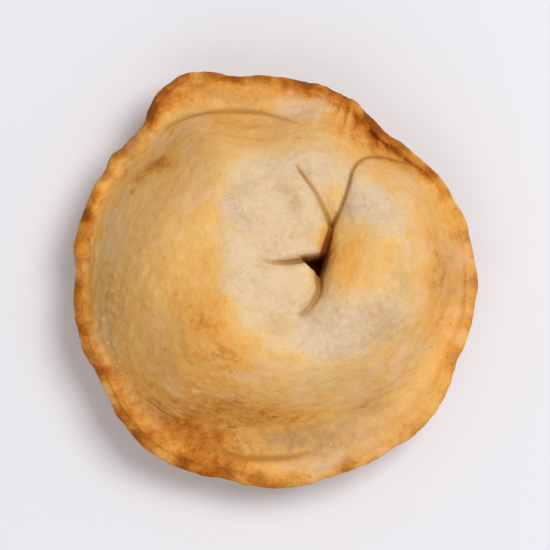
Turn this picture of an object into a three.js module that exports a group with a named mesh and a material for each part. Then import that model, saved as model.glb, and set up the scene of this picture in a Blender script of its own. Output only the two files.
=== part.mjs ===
// One baked pelmen: a plump ring-shaped dumpling. A round of dough is folded over its filling, its
// edge is pressed shut all the way round, and the two ends are then drawn together, so that one end
// tucks under its neighbours and a small deep navel stays open in the top.
//
// Millimetres, +Z up. The dumpling rests on the flat of its base, and the origin is on that flat,
// under the middle of the whole outline.

import * as THREE from 'three';

// ---- Driving dimensions ------------------------------------------------------------------------

const RIM_RADIUS = 18.8;        // outline of the pressed edge, before its swellings
const CROWN_HEIGHT = 17.4;      // the dome, before its basin and folds sink into it
const SEAM_HEIGHT = 5.2;        // middle of the pressed edge above the table
const EDGE_HALF = 0.95;         // half the thickness of the two pressed layers of dough
const EDGE_ROUND = 1.1;         // how far the edge is rounded in from the outline
const SEAM_NOTCH = 0.3;         // groove round the edge, between the two layers
const BRIM_LEAST = 1.5;         // width of the pressed edge where the belly almost hides it
const BASE_RADIUS = 8.8;        // flat spot that the dumpling was baked on
const BASE_OVAL = 0.5;          // how much longer and shorter than that the spot is

const NAVEL = new THREE.Vector2(3.75, 0.5);
const NAVEL_FLOOR = 8.5;        // height of the bottom of the navel
const NAVEL_MOUTH = { halfSide: 0.62, corner: 45, bluntness: 0.9 };
const BASIN_DEPTH = 3.0;        // how far the skin sinks from the ring's crest to the navel
const CREST_RADIUS = 8.4;       // from the navel to that crest

// The right lobe's edge runs from the end of the lower fold past the navel and on over the lobe's
// top. The upper left lobe's edge parts from it, and the tucked end of the ring lies between them.
const RIGHT_EDGE = {
  path: curve([2.2, -4.3], [3.8, -2.8], [4.3, 0.2], [5.2, 3.6], [6.8, 7.8], [8.8, 10.7], [14.9, 9.2]),
  shoulder: 2.4,
  lip: 0.95,
  rises: 0.06,
  fadesFrom: 0.8,
};
const LEFT_EDGE = {
  path: curve([5.2, 3.6], [4.1, 6.2], [1.5, 9.9]),
  shoulder: 1.3,
  lip: 1.2,
  fadesFrom: 0.6,
};
const PLUNGE = { depth: 3.8, reach: 2.7 };      // how much deeper the folds get at the navel
const TUCK_WIDTH = 2.8;
const LEFT_FOLD = { path: curve([2.9, 0.75], [0.5, 0.3], [-1.8, 0.65]), depth: 2.4, shoulder: 0.8 };
const FOLD_FADE = 1.3;
const CREASE_ROUND = 0.2;       // the bottom of a fold isn't a sharp line

// At the upper right the two ends of the ring meet in a gap, and the edge is pinched into pleats
// that fan out from one point.
const JOINT_GAP = { at: new THREE.Vector2(9.2, 12.4), spread: 2.6, depth: 0.9 };
const FAN = { point: new THREE.Vector2(8.2, 18.6), pleats: 22, rise: 0.55, valley: 0.4 };
const FAN_MIDDLE = { at: new THREE.Vector2(8.4, 14.0), spread: 3.0 };

// A hollow in the base, under the place where the ring closes.
const DIMPLE = { at: new THREE.Vector2(5.2, -0.4), radius: 2.4, depth: 1.4 };

// Swellings of a size round the outline: at an angle in degrees, over a half-width in degrees.
const RIM_SWELLINGS = [
  { at: -95, over: 55, rise: 0.8 },
  { at: 115, over: 13, rise: 2.0 },
  { at: 50, over: 22, rise: -1.5 },
  { at: -128, over: 12, rise: 0.6 },
  { at: -45, over: 14, rise: 0.5 },
];
const BRIM_SWELLINGS = [
  { at: -82, over: 58, rise: 4.1 },
  { at: 102, over: 26, rise: 3.0 },
];
const CREST_SWELLINGS = [
  { at: -80, over: 50, rise: 1.6 },
  { at: 80, over: 40, rise: 1.6 },
  { at: 0, over: 40, rise: -0.8 },
];
const SEAM_SWELLINGS = [
  { at: -90, over: 40, rise: -0.5 },
  { at: 62, over: 24, rise: 1.0 },
  { at: 170, over: 45, rise: 0.4 },
  { at: 105, over: 22, rise: 0.8 },
];

// Finger marks of the pressed edge, twice as deep on the upper left, and its waves up and down.
const PINCH_WAVES = [
  { count: 9, shift: 40, rise: 0.08 },
  { count: 14, shift: 160, rise: 0.07 },
  { count: 23, shift: 10, rise: 0.05 },
];
const PINCH_MOST = { at: 140, over: 30, rise: 1.1 };
const SEAM_WAVES = [
  { count: 5, shift: -30, rise: 0.3 },
  { count: 11, shift: 20, rise: 0.16 },
  { count: 23, shift: 50, rise: 0.06 },
];

// Shape of the cross-sections. The dome is fuller and meets a wide brim in a longer slope.
const DOME = { flatness: 2.9, perBrimWidth: 0.2, footRound: 0.03, beyondFoot: 1.6 };
const STEEPNESS = { least: 0.8, perBrimWidth: 0.03 };
const BELLY = { flatness: 2.1, steepness: 0.62 };
const BASIN_ROUNDNESS = 1.8;
const FILLET = { least: 1.2, perBrimWidth: 0.75 };
const BEAD = { at: 0.68, over: 0.2, rise: 0.45 };
const VALLEY = { at: 0.3, over: 0.22, depth: 0.35 };
const FULL_BRIM = 5;            // brim width from which its bead and valley have their full size

// Plump places of the lobes round the navel.
const LOBES = [
  { at: new THREE.Vector2(1.4, 4.1), radius: 3.2, rise: 0.5 },
  { at: new THREE.Vector2(1.8, -1.8), radius: 1.9, rise: 0.4 },
  { at: new THREE.Vector2(9.4, 4.6), radius: 3.8, rise: 0.6 },
  { at: new THREE.Vector2(7.2, -6.0), radius: 3.2, rise: 0.3 },
];

// Thumb-sized hollows and swellings of a hand-made skin: radians to the millimetre each way.
const LUMPS = [
  { rise: 0.14, alongX: 0.41, alongY: 0.36, shift: 0.5 },
  { rise: 0.13, alongX: 0.41, alongY: -0.36, shift: 1.7 },
  { rise: 0.14, alongX: 0.62, alongY: -0.48, shift: 2.3 },
];
const LUMPS_FADE = { from: 13, to: 17 };

const RAYS = 96;                // spokes of the mesh round the dumpling
const DOME_RINGS = 22;          // rings from the navel to the foot of the belly
const BELLY_RINGS = 5;          // rings from the brim down to the flat base

// ---- Small tools -------------------------------------------------------------------------------

function curve(...places) {
  const points = places.map(([x, y]) => new THREE.Vector2(x, y));
  return new THREE.SplineCurve(points).getSpacedPoints(60);
}

function hump(distance, width) {
  return Math.exp(-((distance / width) ** 2));
}

function swellings(degrees, list) {
  return list.reduce((sum, { at, over, rise }) => {
    const apart = THREE.MathUtils.euclideanModulo(degrees - at + 180, 360) - 180;
    return sum + rise * hump(apart, over);
  }, 0);
}

function waves(degrees, list) {
  return list.reduce((sum, { count, shift, rise }) => (
    sum + rise * Math.cos(THREE.MathUtils.degToRad(count * degrees + shift))), 0);
}

function softMax(a, b, blend) {
  const overlap = Math.max(blend - Math.abs(a - b), 0) / blend;
  return Math.max(a, b) + (overlap * overlap * blend) / 4;
}

function direction(degrees) {
  const angle = THREE.MathUtils.degToRad(degrees);
  return new THREE.Vector2(Math.cos(angle), Math.sin(angle));
}

function bearing(point) {
  return THREE.MathUtils.radToDeg(Math.atan2(point.y, point.x));
}

// Where a point lies beside a fold: how far off, how far along from 0 to 1, and on which side
// (+1 to the left of someone walking along it).
function beside(point, { path }) {
  let best = { off: Infinity };
  for (let i = 0; i < path.length - 1; i += 1) {
    const step = path[i + 1].clone().sub(path[i]);
    const reach = point.clone().sub(path[i]);
    const part = THREE.MathUtils.clamp(reach.dot(step) / step.lengthSq(), 0, 1);
    const off = reach.clone().addScaledVector(step, -part).length();
    if (off < best.off) {
      best = { off, along: (i + part) / (path.length - 1), side: Math.sign(step.cross(reach)) };
    }
  }
  return best;
}

// Cross-section of two plump lobes that touch: 1 in the fold, 0 a whole shoulder away.
function rolledShoulder(off, shoulder) {
  const rest = 1 - Math.min(Math.hypot(off, CREASE_ROUND) / shoulder, 1);
  return 1 - Math.sqrt(1 - rest * rest);
}

// ---- Outline -----------------------------------------------------------------------------------

function smoothRim(degrees) {
  return RIM_RADIUS + swellings(degrees, RIM_SWELLINGS);
}

function rimRadius(degrees) {
  const pressed = 1 + swellings(degrees, [PINCH_MOST]);
  return smoothRim(degrees) + pressed * waves(degrees, PINCH_WAVES);
}

function brimWidth(degrees) {
  return BRIM_LEAST + swellings(degrees, BRIM_SWELLINGS);
}

function footRadius(degrees) {
  return smoothRim(degrees) - brimWidth(degrees);
}

function seamHeight(degrees) {
  return SEAM_HEIGHT + waves(degrees, SEAM_WAVES) + swellings(degrees, SEAM_SWELLINGS);
}

// ---- Upper side --------------------------------------------------------------------------------

function domeHeight(point) {
  const degrees = bearing(point);
  const width = brimWidth(degrees);
  const out = point.length() / footRadius(degrees);
  const beyond = Math.max(out - 1, 0) * footRadius(degrees);
  const inside = 1 - out ** (DOME.flatness + DOME.perBrimWidth * width);
  const rounded = (inside + Math.hypot(inside, DOME.footRound)) / 2;
  const share = rounded ** (STEEPNESS.least + STEEPNESS.perBrimWidth * width);
  return SEAM_HEIGHT + (CROWN_HEIGHT - SEAM_HEIGHT) * share - DOME.beyondFoot * beyond;
}

// Inside the ring's crest the skin sinks towards the navel.
function basinDepth(point) {
  const reach = point.clone().sub(NAVEL);
  const crest = CREST_RADIUS + swellings(bearing(reach), CREST_SWELLINGS);
  const inside = Math.max(1 - (reach.length() / crest) ** 2, 0);
  return BASIN_DEPTH * inside ** BASIN_ROUNDNESS;
}

// The dough rolls down into both lobes' edges, and lies low all the way across the tucked end.
function lobeEdgeDepth(point) {
  const plunge = PLUNGE.depth * Math.exp(-point.distanceTo(NAVEL) / PLUNGE.reach);
  const right = beside(point, RIGHT_EDGE);
  const left = beside(point, LEFT_EDGE);
  const risen = THREE.MathUtils.smoothstep(right.along, 0, RIGHT_EDGE.rises);
  const rightFade = 1 - THREE.MathUtils.smoothstep(right.along, RIGHT_EDGE.fadesFrom, 1);
  const leftFade = 1 - THREE.MathUtils.smoothstep(left.along, LEFT_EDGE.fadesFrom, 1);
  const atRight = (plunge + RIGHT_EDGE.lip) * risen * rightFade;
  const atLeft = (plunge + LEFT_EDGE.lip) * leftFade;
  if (right.side < 0) return atRight * rolledShoulder(right.off, RIGHT_EDGE.shoulder);
  if (left.side < 0) {
    return Math.max(atRight * hump(right.off, TUCK_WIDTH), atLeft * hump(left.off, TUCK_WIDTH));
  }
  return Math.max(
    atRight * rolledShoulder(right.off, LEFT_EDGE.shoulder),
    atLeft * rolledShoulder(left.off, LEFT_EDGE.shoulder),
  );
}

function leftFoldDepth(point) {
  const { off, along } = beside(point, LEFT_FOLD);
  return LEFT_FOLD.depth * (1 - along) ** FOLD_FADE * rolledShoulder(off, LEFT_FOLD.shoulder);
}

// How much of the way down to the navel's floor a point is, from 0 outside its three-cornered
// mouth to 1 in its middle.
function navelShare(point) {
  const reach = point.clone().sub(NAVEL);
  const turn = THREE.MathUtils.euclideanModulo(bearing(reach) - NAVEL_MOUTH.corner, 120) - 60;
  const wall = NAVEL_MOUTH.halfSide / direction(turn).x ** NAVEL_MOUTH.bluntness;
  return Math.exp(-((reach.length() / wall) ** 6));
}

function unevenness(point) {
  const lumps = LUMPS.reduce((sum, { rise, alongX, alongY, shift }) => (
    sum + rise * Math.sin(alongX * point.x + alongY * point.y + shift)), 0);
  const lobes = LOBES.reduce((sum, { at, radius, rise }) => (
    sum + rise * hump(point.distanceTo(at), radius)), 0);
  const fade = 1 - THREE.MathUtils.smoothstep(point.length(), LUMPS_FADE.from, LUMPS_FADE.to);
  return (lumps + lobes) * fade;
}

function jointGap(point) {
  return JOINT_GAP.depth * hump(point.distanceTo(JOINT_GAP.at), JOINT_GAP.spread);
}

function pleatRise(point) {
  const reach = point.clone().sub(FAN.point);
  const turn = Math.atan2(reach.y, reach.x);
  const sway = 0.4 * Math.sin(1.9 * point.x) + 0.3 * Math.sin(1.3 * point.y);
  const ridge = 2 * Math.hypot(Math.sin((FAN.pleats / 2) * turn + sway), FAN.valley) - 1;
  return FAN.rise * ridge * hump(point.distanceTo(FAN_MIDDLE.at), FAN_MIDDLE.spread);
}

// Top of the pressed edge: a shallow valley beside the belly, then a rounded bead.
function brimTop(point) {
  const degrees = bearing(point);
  const foot = footRadius(degrees);
  const width = rimRadius(degrees) - foot;
  const across = THREE.MathUtils.clamp((point.length() - foot) / width, 0, 1);
  const bead = BEAD.rise * hump(across - BEAD.at, BEAD.over);
  const valley = VALLEY.depth * hump(across - VALLEY.at, VALLEY.over);
  return seamHeight(degrees) + EDGE_HALF + Math.min(width / FULL_BRIM, 1) * (bead - valley);
}

function topHeight(point) {
  const belly = domeHeight(point) - basinDepth(point) - jointGap(point) + unevenness(point);
  const fillet = FILLET.least + FILLET.perBrimWidth * brimWidth(bearing(point));
  const folds = lobeEdgeDepth(point) + leftFoldDepth(point);
  const skin = softMax(belly, brimTop(point), fillet) - folds + pleatRise(point);
  return THREE.MathUtils.lerp(skin, NAVEL_FLOOR, navelShare(point));
}

// ---- Under side --------------------------------------------------------------------------------

function baseRadius(degrees) {
  return BASE_RADIUS + BASE_OVAL * Math.cos(THREE.MathUtils.degToRad(2 * degrees - 50));
}

// Rounded belly between the flat base (part 0) and the under side of the pressed edge (part 1).
function bellyHeight(degrees, part) {
  const rise = 1 - (1 - part ** BELLY.flatness) ** BELLY.steepness;
  return (seamHeight(degrees) - EDGE_HALF) * rise;
}

// ---- Rings of the skin -------------------------------------------------------------------------
// Each ring is a function that gives its place at an angle in degrees.

// The rings open out from round the navel to round the middle of the dumpling.
function domeRing(out) {
  const middle = NAVEL.clone().multiplyScalar((1 - out) ** 1.5);
  return (degrees) => {
    const point = middle.clone().addScaledVector(direction(degrees), out * footRadius(degrees));
    return [point.x, point.y, topHeight(point)];
  };
}

function brimRing(across) {
  return (degrees) => {
    const shoulder = rimRadius(degrees) - 0.8 * EDGE_ROUND;
    const reach = THREE.MathUtils.lerp(footRadius(degrees), shoulder, across);
    const point = direction(degrees).multiplyScalar(reach);
    return [point.x, point.y, topHeight(point)];
  };
}

function edgeRing({ turn, notch }) {
  const round = direction(turn);
  const inward = EDGE_ROUND * (1 - round.x) + notch;
  return (degrees) => {
    const point = direction(degrees).multiplyScalar(rimRadius(degrees) - inward);
    return [point.x, point.y, seamHeight(degrees) + EDGE_HALF * round.y];
  };
}

function bellyRing(part) {
  return (degrees) => {
    const reach = THREE.MathUtils.lerp(baseRadius(degrees), footRadius(degrees), part);
    const point = direction(degrees).multiplyScalar(reach);
    return [point.x, point.y, bellyHeight(degrees, part)];
  };
}

function dimpleRing({ spread, sunk }) {
  return (degrees) => {
    const reach = DIMPLE.radius * spread;
    const point = DIMPLE.at.clone().addScaledVector(direction(degrees), reach);
    return [point.x, point.y, DIMPLE.depth * sunk];
  };
}

// Quarter-turn steps crowd the rings where the skin is steepest.
function quarterSteps(count) {
  return Array.from({ length: count }, (_, i) => (Math.PI / 2) * ((i + 1) / count));
}

// All the rings, from the navel over the brim and round under the belly to the dimple.
function skinRings() {
  const edge = [
    { turn: 62, notch: 0 },
    { turn: 22, notch: 0 },
    { turn: 0, notch: SEAM_NOTCH },
    { turn: -22, notch: 0 },
    { turn: -55, notch: 0 },
    { turn: -88, notch: 0 },
  ];
  const dimple = [
    { spread: 1, sunk: 0 },
    { spread: 0.72, sunk: 0.35 },
    { spread: 0.4, sunk: 0.8 },
  ];
  return [
    ...quarterSteps(DOME_RINGS).map((step) => domeRing(Math.sin(step) ** 1.7)),
    ...[0.22, 0.44, 0.66, 0.86].map(brimRing),
    ...edge.map(edgeRing),
    bellyRing(1),
    ...quarterSteps(BELLY_RINGS).map((step) => bellyRing(Math.max(Math.cos(step), 0) ** 0.8)),
    ...dimple.map(dimpleRing),
  ];
}

// ---- The dumpling ------------------------------------------------------------------------------

function skinGeometry() {
  const ringList = skinRings();
  const angles = Array.from({ length: RAYS }, (_, ray) => (ray / RAYS) * 360);
  const places = ringList.flatMap((ring) => angles.flatMap(ring));
  const navelPole = ringList.length * RAYS;
  const dimplePole = navelPole + 1;
  const lastRing = (ringList.length - 1) * RAYS;
  places.push(NAVEL.x, NAVEL.y, NAVEL_FLOOR);
  places.push(DIMPLE.at.x, DIMPLE.at.y, DIMPLE.depth);

  const faces = [];
  for (let ray = 0; ray < RAYS; ray += 1) {
    const next = (ray + 1) % RAYS;
    faces.push(navelPole, ray, next);
    for (let inner = 0; inner < lastRing; inner += RAYS) {
      const outer = inner + RAYS;
      faces.push(inner + ray, outer + ray, outer + next);
      faces.push(inner + ray, outer + next, inner + next);
    }
    faces.push(dimplePole, lastRing + next, lastRing + ray);
  }

  const geometry = new THREE.BufferGeometry();
  geometry.setAttribute('position', new THREE.Float32BufferAttribute(places, 3));
  geometry.setIndex(faces);
  geometry.computeBoundingBox();
  const middle = geometry.boundingBox.getCenter(new THREE.Vector3());
  geometry.translate(-middle.x, -middle.y, 0);
  geometry.computeVertexNormals();
  return geometry;
}

const bakedDough = new THREE.MeshStandardMaterial({ color: 0xd9a468, roughness: 0.75, metalness: 0 });

const pelmen = new THREE.Mesh(skinGeometry(), bakedDough);
pelmen.name = 'pelmen';

const dumpling = new THREE.Group();
dumpling.add(pelmen);

export default dumpling;
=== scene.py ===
"""One baked pelmen on a plain pale floor, seen almost straight down with soft light from the
upper right. Metres, +Z up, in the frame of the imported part."""

import math

import bpy
import numpy as np
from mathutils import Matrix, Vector


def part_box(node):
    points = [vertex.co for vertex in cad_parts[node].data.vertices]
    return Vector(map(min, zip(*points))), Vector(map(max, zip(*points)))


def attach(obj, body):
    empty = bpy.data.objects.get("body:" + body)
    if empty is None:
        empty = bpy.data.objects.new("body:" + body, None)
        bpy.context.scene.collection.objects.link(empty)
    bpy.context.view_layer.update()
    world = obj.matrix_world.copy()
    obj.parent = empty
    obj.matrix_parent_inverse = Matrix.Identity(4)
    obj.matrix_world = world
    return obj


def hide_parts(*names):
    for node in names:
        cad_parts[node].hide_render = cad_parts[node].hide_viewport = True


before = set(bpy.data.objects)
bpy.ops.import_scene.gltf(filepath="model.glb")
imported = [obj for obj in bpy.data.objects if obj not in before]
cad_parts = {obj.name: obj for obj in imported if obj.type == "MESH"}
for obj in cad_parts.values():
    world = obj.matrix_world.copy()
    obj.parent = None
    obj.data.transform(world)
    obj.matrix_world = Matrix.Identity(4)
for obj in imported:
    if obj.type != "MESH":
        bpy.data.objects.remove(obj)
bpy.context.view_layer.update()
scene = bpy.context.scene
scene.view_settings.view_transform = "Standard"


# ==== The dough: its outline ====================================================================
# The real piece starts as a round of wheat dough about 60 mm across. Folded over its filling and
# pressed shut, its double edge becomes the dumpling's wavy brim. Lengths here are in millimetres.

RIM_RADIUS = 18.8
SEAM_HEIGHT = 5.2
EDGE_HALF = 0.95
BRIM_LEAST = 1.5

# Swellings of a size round the outline: at degrees, over degrees, rise.
RIM_SWELLINGS = [
    (-95, 55, 0.8),
    (115, 13, 2.0),
    (50, 22, -1.5),
    (-128, 12, 0.6),
    (-45, 14, 0.5),
]
BRIM_SWELLINGS = [(-82, 58, 4.1), (102, 26, 3.0)]
SEAM_SWELLINGS = [(-90, 40, -0.5), (62, 24, 1.0), (170, 45, 0.4), (105, 22, 0.8)]

# Finger marks and waves of the pressed edge: count round the outline, shift in degrees, rise.
PINCH_WAVES = [(9, 40, 0.08), (14, 160, 0.07), (23, 10, 0.05), (37, 75, 0.03)]
PINCH_MOST = (140, 30, 0.09)
SEAM_WAVES = [(5, -30, 0.30), (11, 20, 0.16), (23, 50, 0.06)]


def hump(distance, width):
    return np.exp(-((distance / width) ** 2))


def swellings(degrees, table):
    total = np.zeros_like(degrees)
    for at, over, rise in table:
        apart = (degrees - at + 180.0) % 360.0 - 180.0
        total += rise * hump(apart, over)
    return total


def waves(degrees, table):
    total = np.zeros_like(degrees)
    for count, shift, rise in table:
        total += rise * np.cos(np.radians(count * degrees + shift))
    return total


def smooth_rim(degrees):
    return RIM_RADIUS + swellings(degrees, RIM_SWELLINGS)


def rim_radius(degrees):
    pressed = 1.0 + swellings(degrees, [PINCH_MOST]) / PINCH_WAVES[0][2]
    return smooth_rim(degrees) + pressed * waves(degrees, PINCH_WAVES)


def brim_width(degrees):
    return BRIM_LEAST + swellings(degrees, BRIM_SWELLINGS)


def foot_radius(degrees):
    return smooth_rim(degrees) - brim_width(degrees)


def seam_height(degrees):
    return SEAM_HEIGHT + waves(degrees, SEAM_WAVES) + swellings(degrees, SEAM_SWELLINGS)


# ==== The dough: its folds ======================================================================
# Drawing the ends of the folded dough together leaves a small deep navel. One end is tucked under
# its neighbours and runs down into it between two plump lobes, and a short fold comes in from the
# left.

NAVEL = (3.75, 0.5)
NAVEL_FLOOR = 8.5
NAVEL_SIDE = 0.62
NAVEL_CORNER = 45
NAVEL_BLUNTNESS = 0.9

# The right lobe's edge, from the end of the lower fold past the navel and over the lobe's top.
RIGHT_EDGE = [
    (1.75, -4.05),
    (2.35, -4.4),
    (3.05, -3.85),
    (3.65, -3.0),
    (4.1, -2.0),
    (4.1, -0.8),
    (4.3, 0.2),
    (4.62, 1.4),
    (4.9, 2.5),
    (5.2, 3.6),
    (5.65, 4.5),
    (6.1, 5.5),
    (6.5, 6.6),
    (6.85, 7.8),
    (7.15, 9.0),
    (7.8, 10.0),
    (8.9, 10.8),
    (10.4, 11.0),
    (12.4, 10.6),
    (14.9, 9.2),
]
# The upper left lobe's edge, from where it parts from the right lobe's.
LEFT_EDGE = [(5.2, 3.6), (4.95, 4.4), (4.6, 5.2), (4.1, 6.2), (3.3, 7.4), (2.1, 9.1), (1.5, 9.9)]

# Both edges plunge towards the navel, and further out they keep the height of a lobe's lip.
PLUNGE_DEPTH = 3.8
PLUNGE_REACH = 2.7
LOWER_LIP = 0.8
UPPER_LIP = 1.0
LIP_CHANGE = (0.15, 0.3)
LEFT_LIP = 1.2
LEFT_SHOULDER = 1.3
RIGHT_SHOULDER = 2.4
TUCK_WIDTH = 2.8

# How far along, from 0 to 1, an edge has its full depth, where that fades, and where its line of
# painted shade does.
RIGHT_RISEN = 0.05
RIGHT_FADE = 0.80
LEFT_FADE = 0.72
SEEN_FADE = 0.90

LEFT_FOLD = [(2.9, 0.75), (2.4, 0.6), (1.5, 0.4), (0.5, 0.3), (-0.6, 0.3), (-1.8, 0.65)]
LEFT_FOLD_DEPTH = 2.4
LEFT_FOLD_SHOULDER = 0.8
LEFT_FOLD_TAPER = 1.2
LEFT_FOLD_SHADE_TAPER = 0.8

# The bottom of a fold is a little rounded, and a line of painted shade runs along it: its width,
# how much wider it is near the navel, and within how many millimetres. Fine creases have their
# own width and strength of painted shade.
CREASE_ROUND = 0.10
CREASE_WIDTH = 0.24
CREASE_WIDER = 0.6
CREASE_WIDER_WITHIN = 2.6
FINE_WIDTH = 0.30
FINE_SHADE = 1.5

# Fine creases: the points of each, its depth and the width of its shoulders.
FINE_CREASES = [
    ([(0.3, 0.5), (-0.8, 1.2), (-1.9, 1.3)], 0.22, 0.45),
    ([(0.4, 0.2), (-0.9, -0.2), (-2.3, 0.0)], 0.24, 0.5),
    ([(2.9, -4.2), (3.7, -4.9), (4.3, -5.8)], 0.18, 0.5),
    ([(5.6, -2.2), (6.9, -3.7), (8.6, -4.3), (10.1, -4.0)], 0.20, 0.6),
    ([(1.4, 7.4), (1.9, 6.4), (2.3, 5.3), (2.2, 4.0)], 0.24, 0.6),
    ([(6.0, 3.6), (7.0, 4.2), (7.6, 5.2)], 0.12, 0.5),
    ([(-11.0, 13.7), (-7.0, 15.1), (-4.0, 15.4), (-0.8, 15.1), (2.8, 13.6)], 0.60, 1.1),
    ([(11.0, 13.2), (12.3, 11.7), (13.6, 10.4), (15.0, 9.0), (16.1, 6.8)], 0.30, 0.8),
    ([(-6.4, -15.9), (-2.6, -16.8), (1.2, -16.8), (3.8, -16.2)], 0.75, 0.9),
    ([(-0.6, -14.9), (4.4, -13.8), (8.9, -11.9)], 0.30, 1.7),
    ([(-17.3, 4.2), (-17.2, 0.6), (-17.3, -2.8), (-16.9, -6.4)], 0.24, 0.9),
    ([(-12.4, -12.3), (-9.8, -14.2), (-6.6, -15.9)], 0.26, 0.8),
]


def smooth_path(points, steps=14):
    """A Catmull-Rom curve through the points, as rows of x and y."""
    knots = np.array([points[0], *points, points[-1]], float)
    t = np.linspace(0, 1, steps, endpoint=False)[:, None]
    rows = []
    for a, b, c, d in zip(knots[:-3], knots[1:-2], knots[2:-1], knots[3:]):
        bend = 2 * a - 5 * b + 4 * c - d
        twist = 3 * b - a - 3 * c + d
        rows.append(0.5 * (2 * b + (c - a) * t + bend * t**2 + twist * t**3))
    return np.vstack([*rows, knots[-1:]])


def beside(x, y, points):
    """How far off a path each place is, how far along it from 0 to 1, and its side, +1 left."""
    path = smooth_path(points)
    off = np.full(x.shape, np.inf)
    along = np.zeros_like(x)
    side = np.ones_like(x)
    lengths = np.hypot(*np.diff(path, axis=0).T)
    starts = np.concatenate([[0], np.cumsum(lengths)])
    for i, (step_x, step_y) in enumerate(np.diff(path, axis=0)):
        reach_x = x - path[i, 0]
        reach_y = y - path[i, 1]
        part = np.clip((reach_x * step_x + reach_y * step_y) / lengths[i] ** 2, 0, 1)
        here = np.hypot(reach_x - part * step_x, reach_y - part * step_y)
        nearer = here < off
        off = np.where(nearer, here, off)
        along = np.where(nearer, (starts[i] + part * lengths[i]) / starts[-1], along)
        side = np.where(nearer, np.sign(step_x * reach_y - step_y * reach_x), side)
    return off, along, side


def smoothstep(value, low, high):
    t = np.clip((value - low) / (high - low), 0, 1)
    return t * t * (3 - 2 * t)


def rolled(off, shoulder):
    """Cross-section of two plump lobes that touch: 1 in the fold, 0 a whole shoulder away."""
    rest = 1 - np.minimum(np.hypot(off, CREASE_ROUND) / shoulder, 1)
    return 1 - np.sqrt(1 - rest * rest)


def from_navel(x, y):
    return np.hypot(x - NAVEL[0], y - NAVEL[1])


def round_navel(x, y):
    return np.degrees(np.arctan2(y - NAVEL[1], x - NAVEL[0]))


def lobe_edges(x, y):
    """Depth of the dough below its plump lobes, and nearness to a lobe's edge, for painted shade.
    """
    plunge = PLUNGE_DEPTH * np.exp(-from_navel(x, y) / PLUNGE_REACH)
    right_off, right_along, right_side = beside(x, y, RIGHT_EDGE)
    left_off, left_along, left_side = beside(x, y, LEFT_EDGE)
    lip = LOWER_LIP + (UPPER_LIP - LOWER_LIP) * smoothstep(right_along, *LIP_CHANGE)
    risen = smoothstep(right_along, 0, RIGHT_RISEN)
    right = (plunge + lip) * risen * (1 - smoothstep(right_along, RIGHT_FADE, 1))
    left = (plunge + LEFT_LIP) * (1 - smoothstep(left_along, LEFT_FADE, 1))
    by_right = right * rolled(right_off, LEFT_SHOULDER)
    by_left = left * rolled(left_off, LEFT_SHOULDER)
    on_left = np.maximum(by_right, by_left)
    on_right = right * rolled(right_off, RIGHT_SHOULDER)
    tucked = np.maximum(right * hump(right_off, TUCK_WIDTH), left * hump(left_off, TUCK_WIDTH))
    depth = np.where(right_side < 0, on_right, np.where(left_side < 0, tucked, on_left))
    seen = right * (1 - smoothstep(right_along, SEEN_FADE, 1))
    width = CREASE_WIDTH * (1 + CREASE_WIDER * hump(from_navel(x, y), CREASE_WIDER_WITHIN))
    return depth, np.maximum(seen * hump(right_off, width), left * hump(left_off, width))


def fold_depths(x, y):
    """Depth of all the folds, and their depth again at the creases alone, for painted shade."""
    depth, crease_shade = lobe_edges(x, y)
    off, along, _ = beside(x, y, LEFT_FOLD)
    fold_depth = LEFT_FOLD_DEPTH * (1 - along) ** LEFT_FOLD_TAPER
    depth = depth + fold_depth * rolled(off, LEFT_FOLD_SHOULDER)
    fold_shade = LEFT_FOLD_DEPTH * (1 - along) ** LEFT_FOLD_SHADE_TAPER
    crease_shade = np.maximum(crease_shade, fold_shade * hump(off, CREASE_WIDTH))
    for points, fine_depth, shoulder in FINE_CREASES:
        off, along, _ = beside(x, y, points)
        fine_depth = fine_depth * np.sqrt(np.sin(np.pi * along))
        depth = depth + fine_depth * rolled(off, shoulder)
        crease_shade = np.maximum(crease_shade, FINE_SHADE * fine_depth * hump(off, FINE_WIDTH))
    return depth, crease_shade


def navel_share(x, y):
    """1 inside the three-cornered navel, 0 outside it."""
    off_side = np.radians((round_navel(x, y) - NAVEL_CORNER) % 120 - 60)
    radius = NAVEL_SIDE / np.cos(off_side) ** NAVEL_BLUNTNESS
    return np.exp(-((from_navel(x, y) / radius) ** 6))


# ==== The dough: its filled ring ================================================================
# The filled part stands up as a plump ring: upright over the narrow brim at the sides, in a long
# slope over the wide brim at the front, and sinking to the navel inside its crest.

CROWN_HEIGHT = 17.4

# Each is its value beside a brim of no width, and what every millimetre of brim adds to it.
FLATNESS = (2.9, 0.20)
STEEPNESS = (0.80, 0.03)
FILLET = (1.2, 0.75)

FOOT_ROUND = 0.03
BEYOND_FOOT = 1.6
BASIN_DEPTH = 3.0
BASIN_ROUNDNESS = 1.8
CREST_RADIUS = 8.4
CREST_SWELLINGS = [(-80, 50, 1.6), (80, 40, 1.6), (0, 40, -0.8)]

# A wide brim has a rounded bead and a valley: where across it, how wide, and rise or depth.
BEAD = (0.68, 0.20, 0.45)
VALLEY = (0.30, 0.22, 0.35)
FULL_BRIM = 5.0

# Plump places of the lobes round the navel: x, y, radius, rise.
LOBES = [(1.4, 4.1, 3.2, 0.5), (1.8, -1.8, 1.9, 0.4), (9.4, 4.6, 3.8, 0.6), (7.2, -6.0, 3.2, 0.3)]

# Thumb-sized hollows: rise, radians to the millimetre along x and y, shift.
LUMPS = [(0.14, 0.41, 0.36, 0.5), (0.13, 0.41, -0.36, 1.7), (0.14, 0.62, -0.48, 2.3)]
LUMPS_FADE = (13, 17)

# Where the two ends of the ring meet there is a gap: x, y, radius, depth. Beside it the edge is
# pinched into pleats that fan out from one point: x, y and radius of the middle of the pleats.
JOINT_GAP = (9.2, 12.4, 2.6, 0.9)
FAN_POINT = (8.2, 18.6)
FAN_MIDDLE = (8.4, 14.0, 3.0)
FAN_PLEATS = 22
FAN_RISE = 0.55
FAN_VALLEY = 0.40


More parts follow.
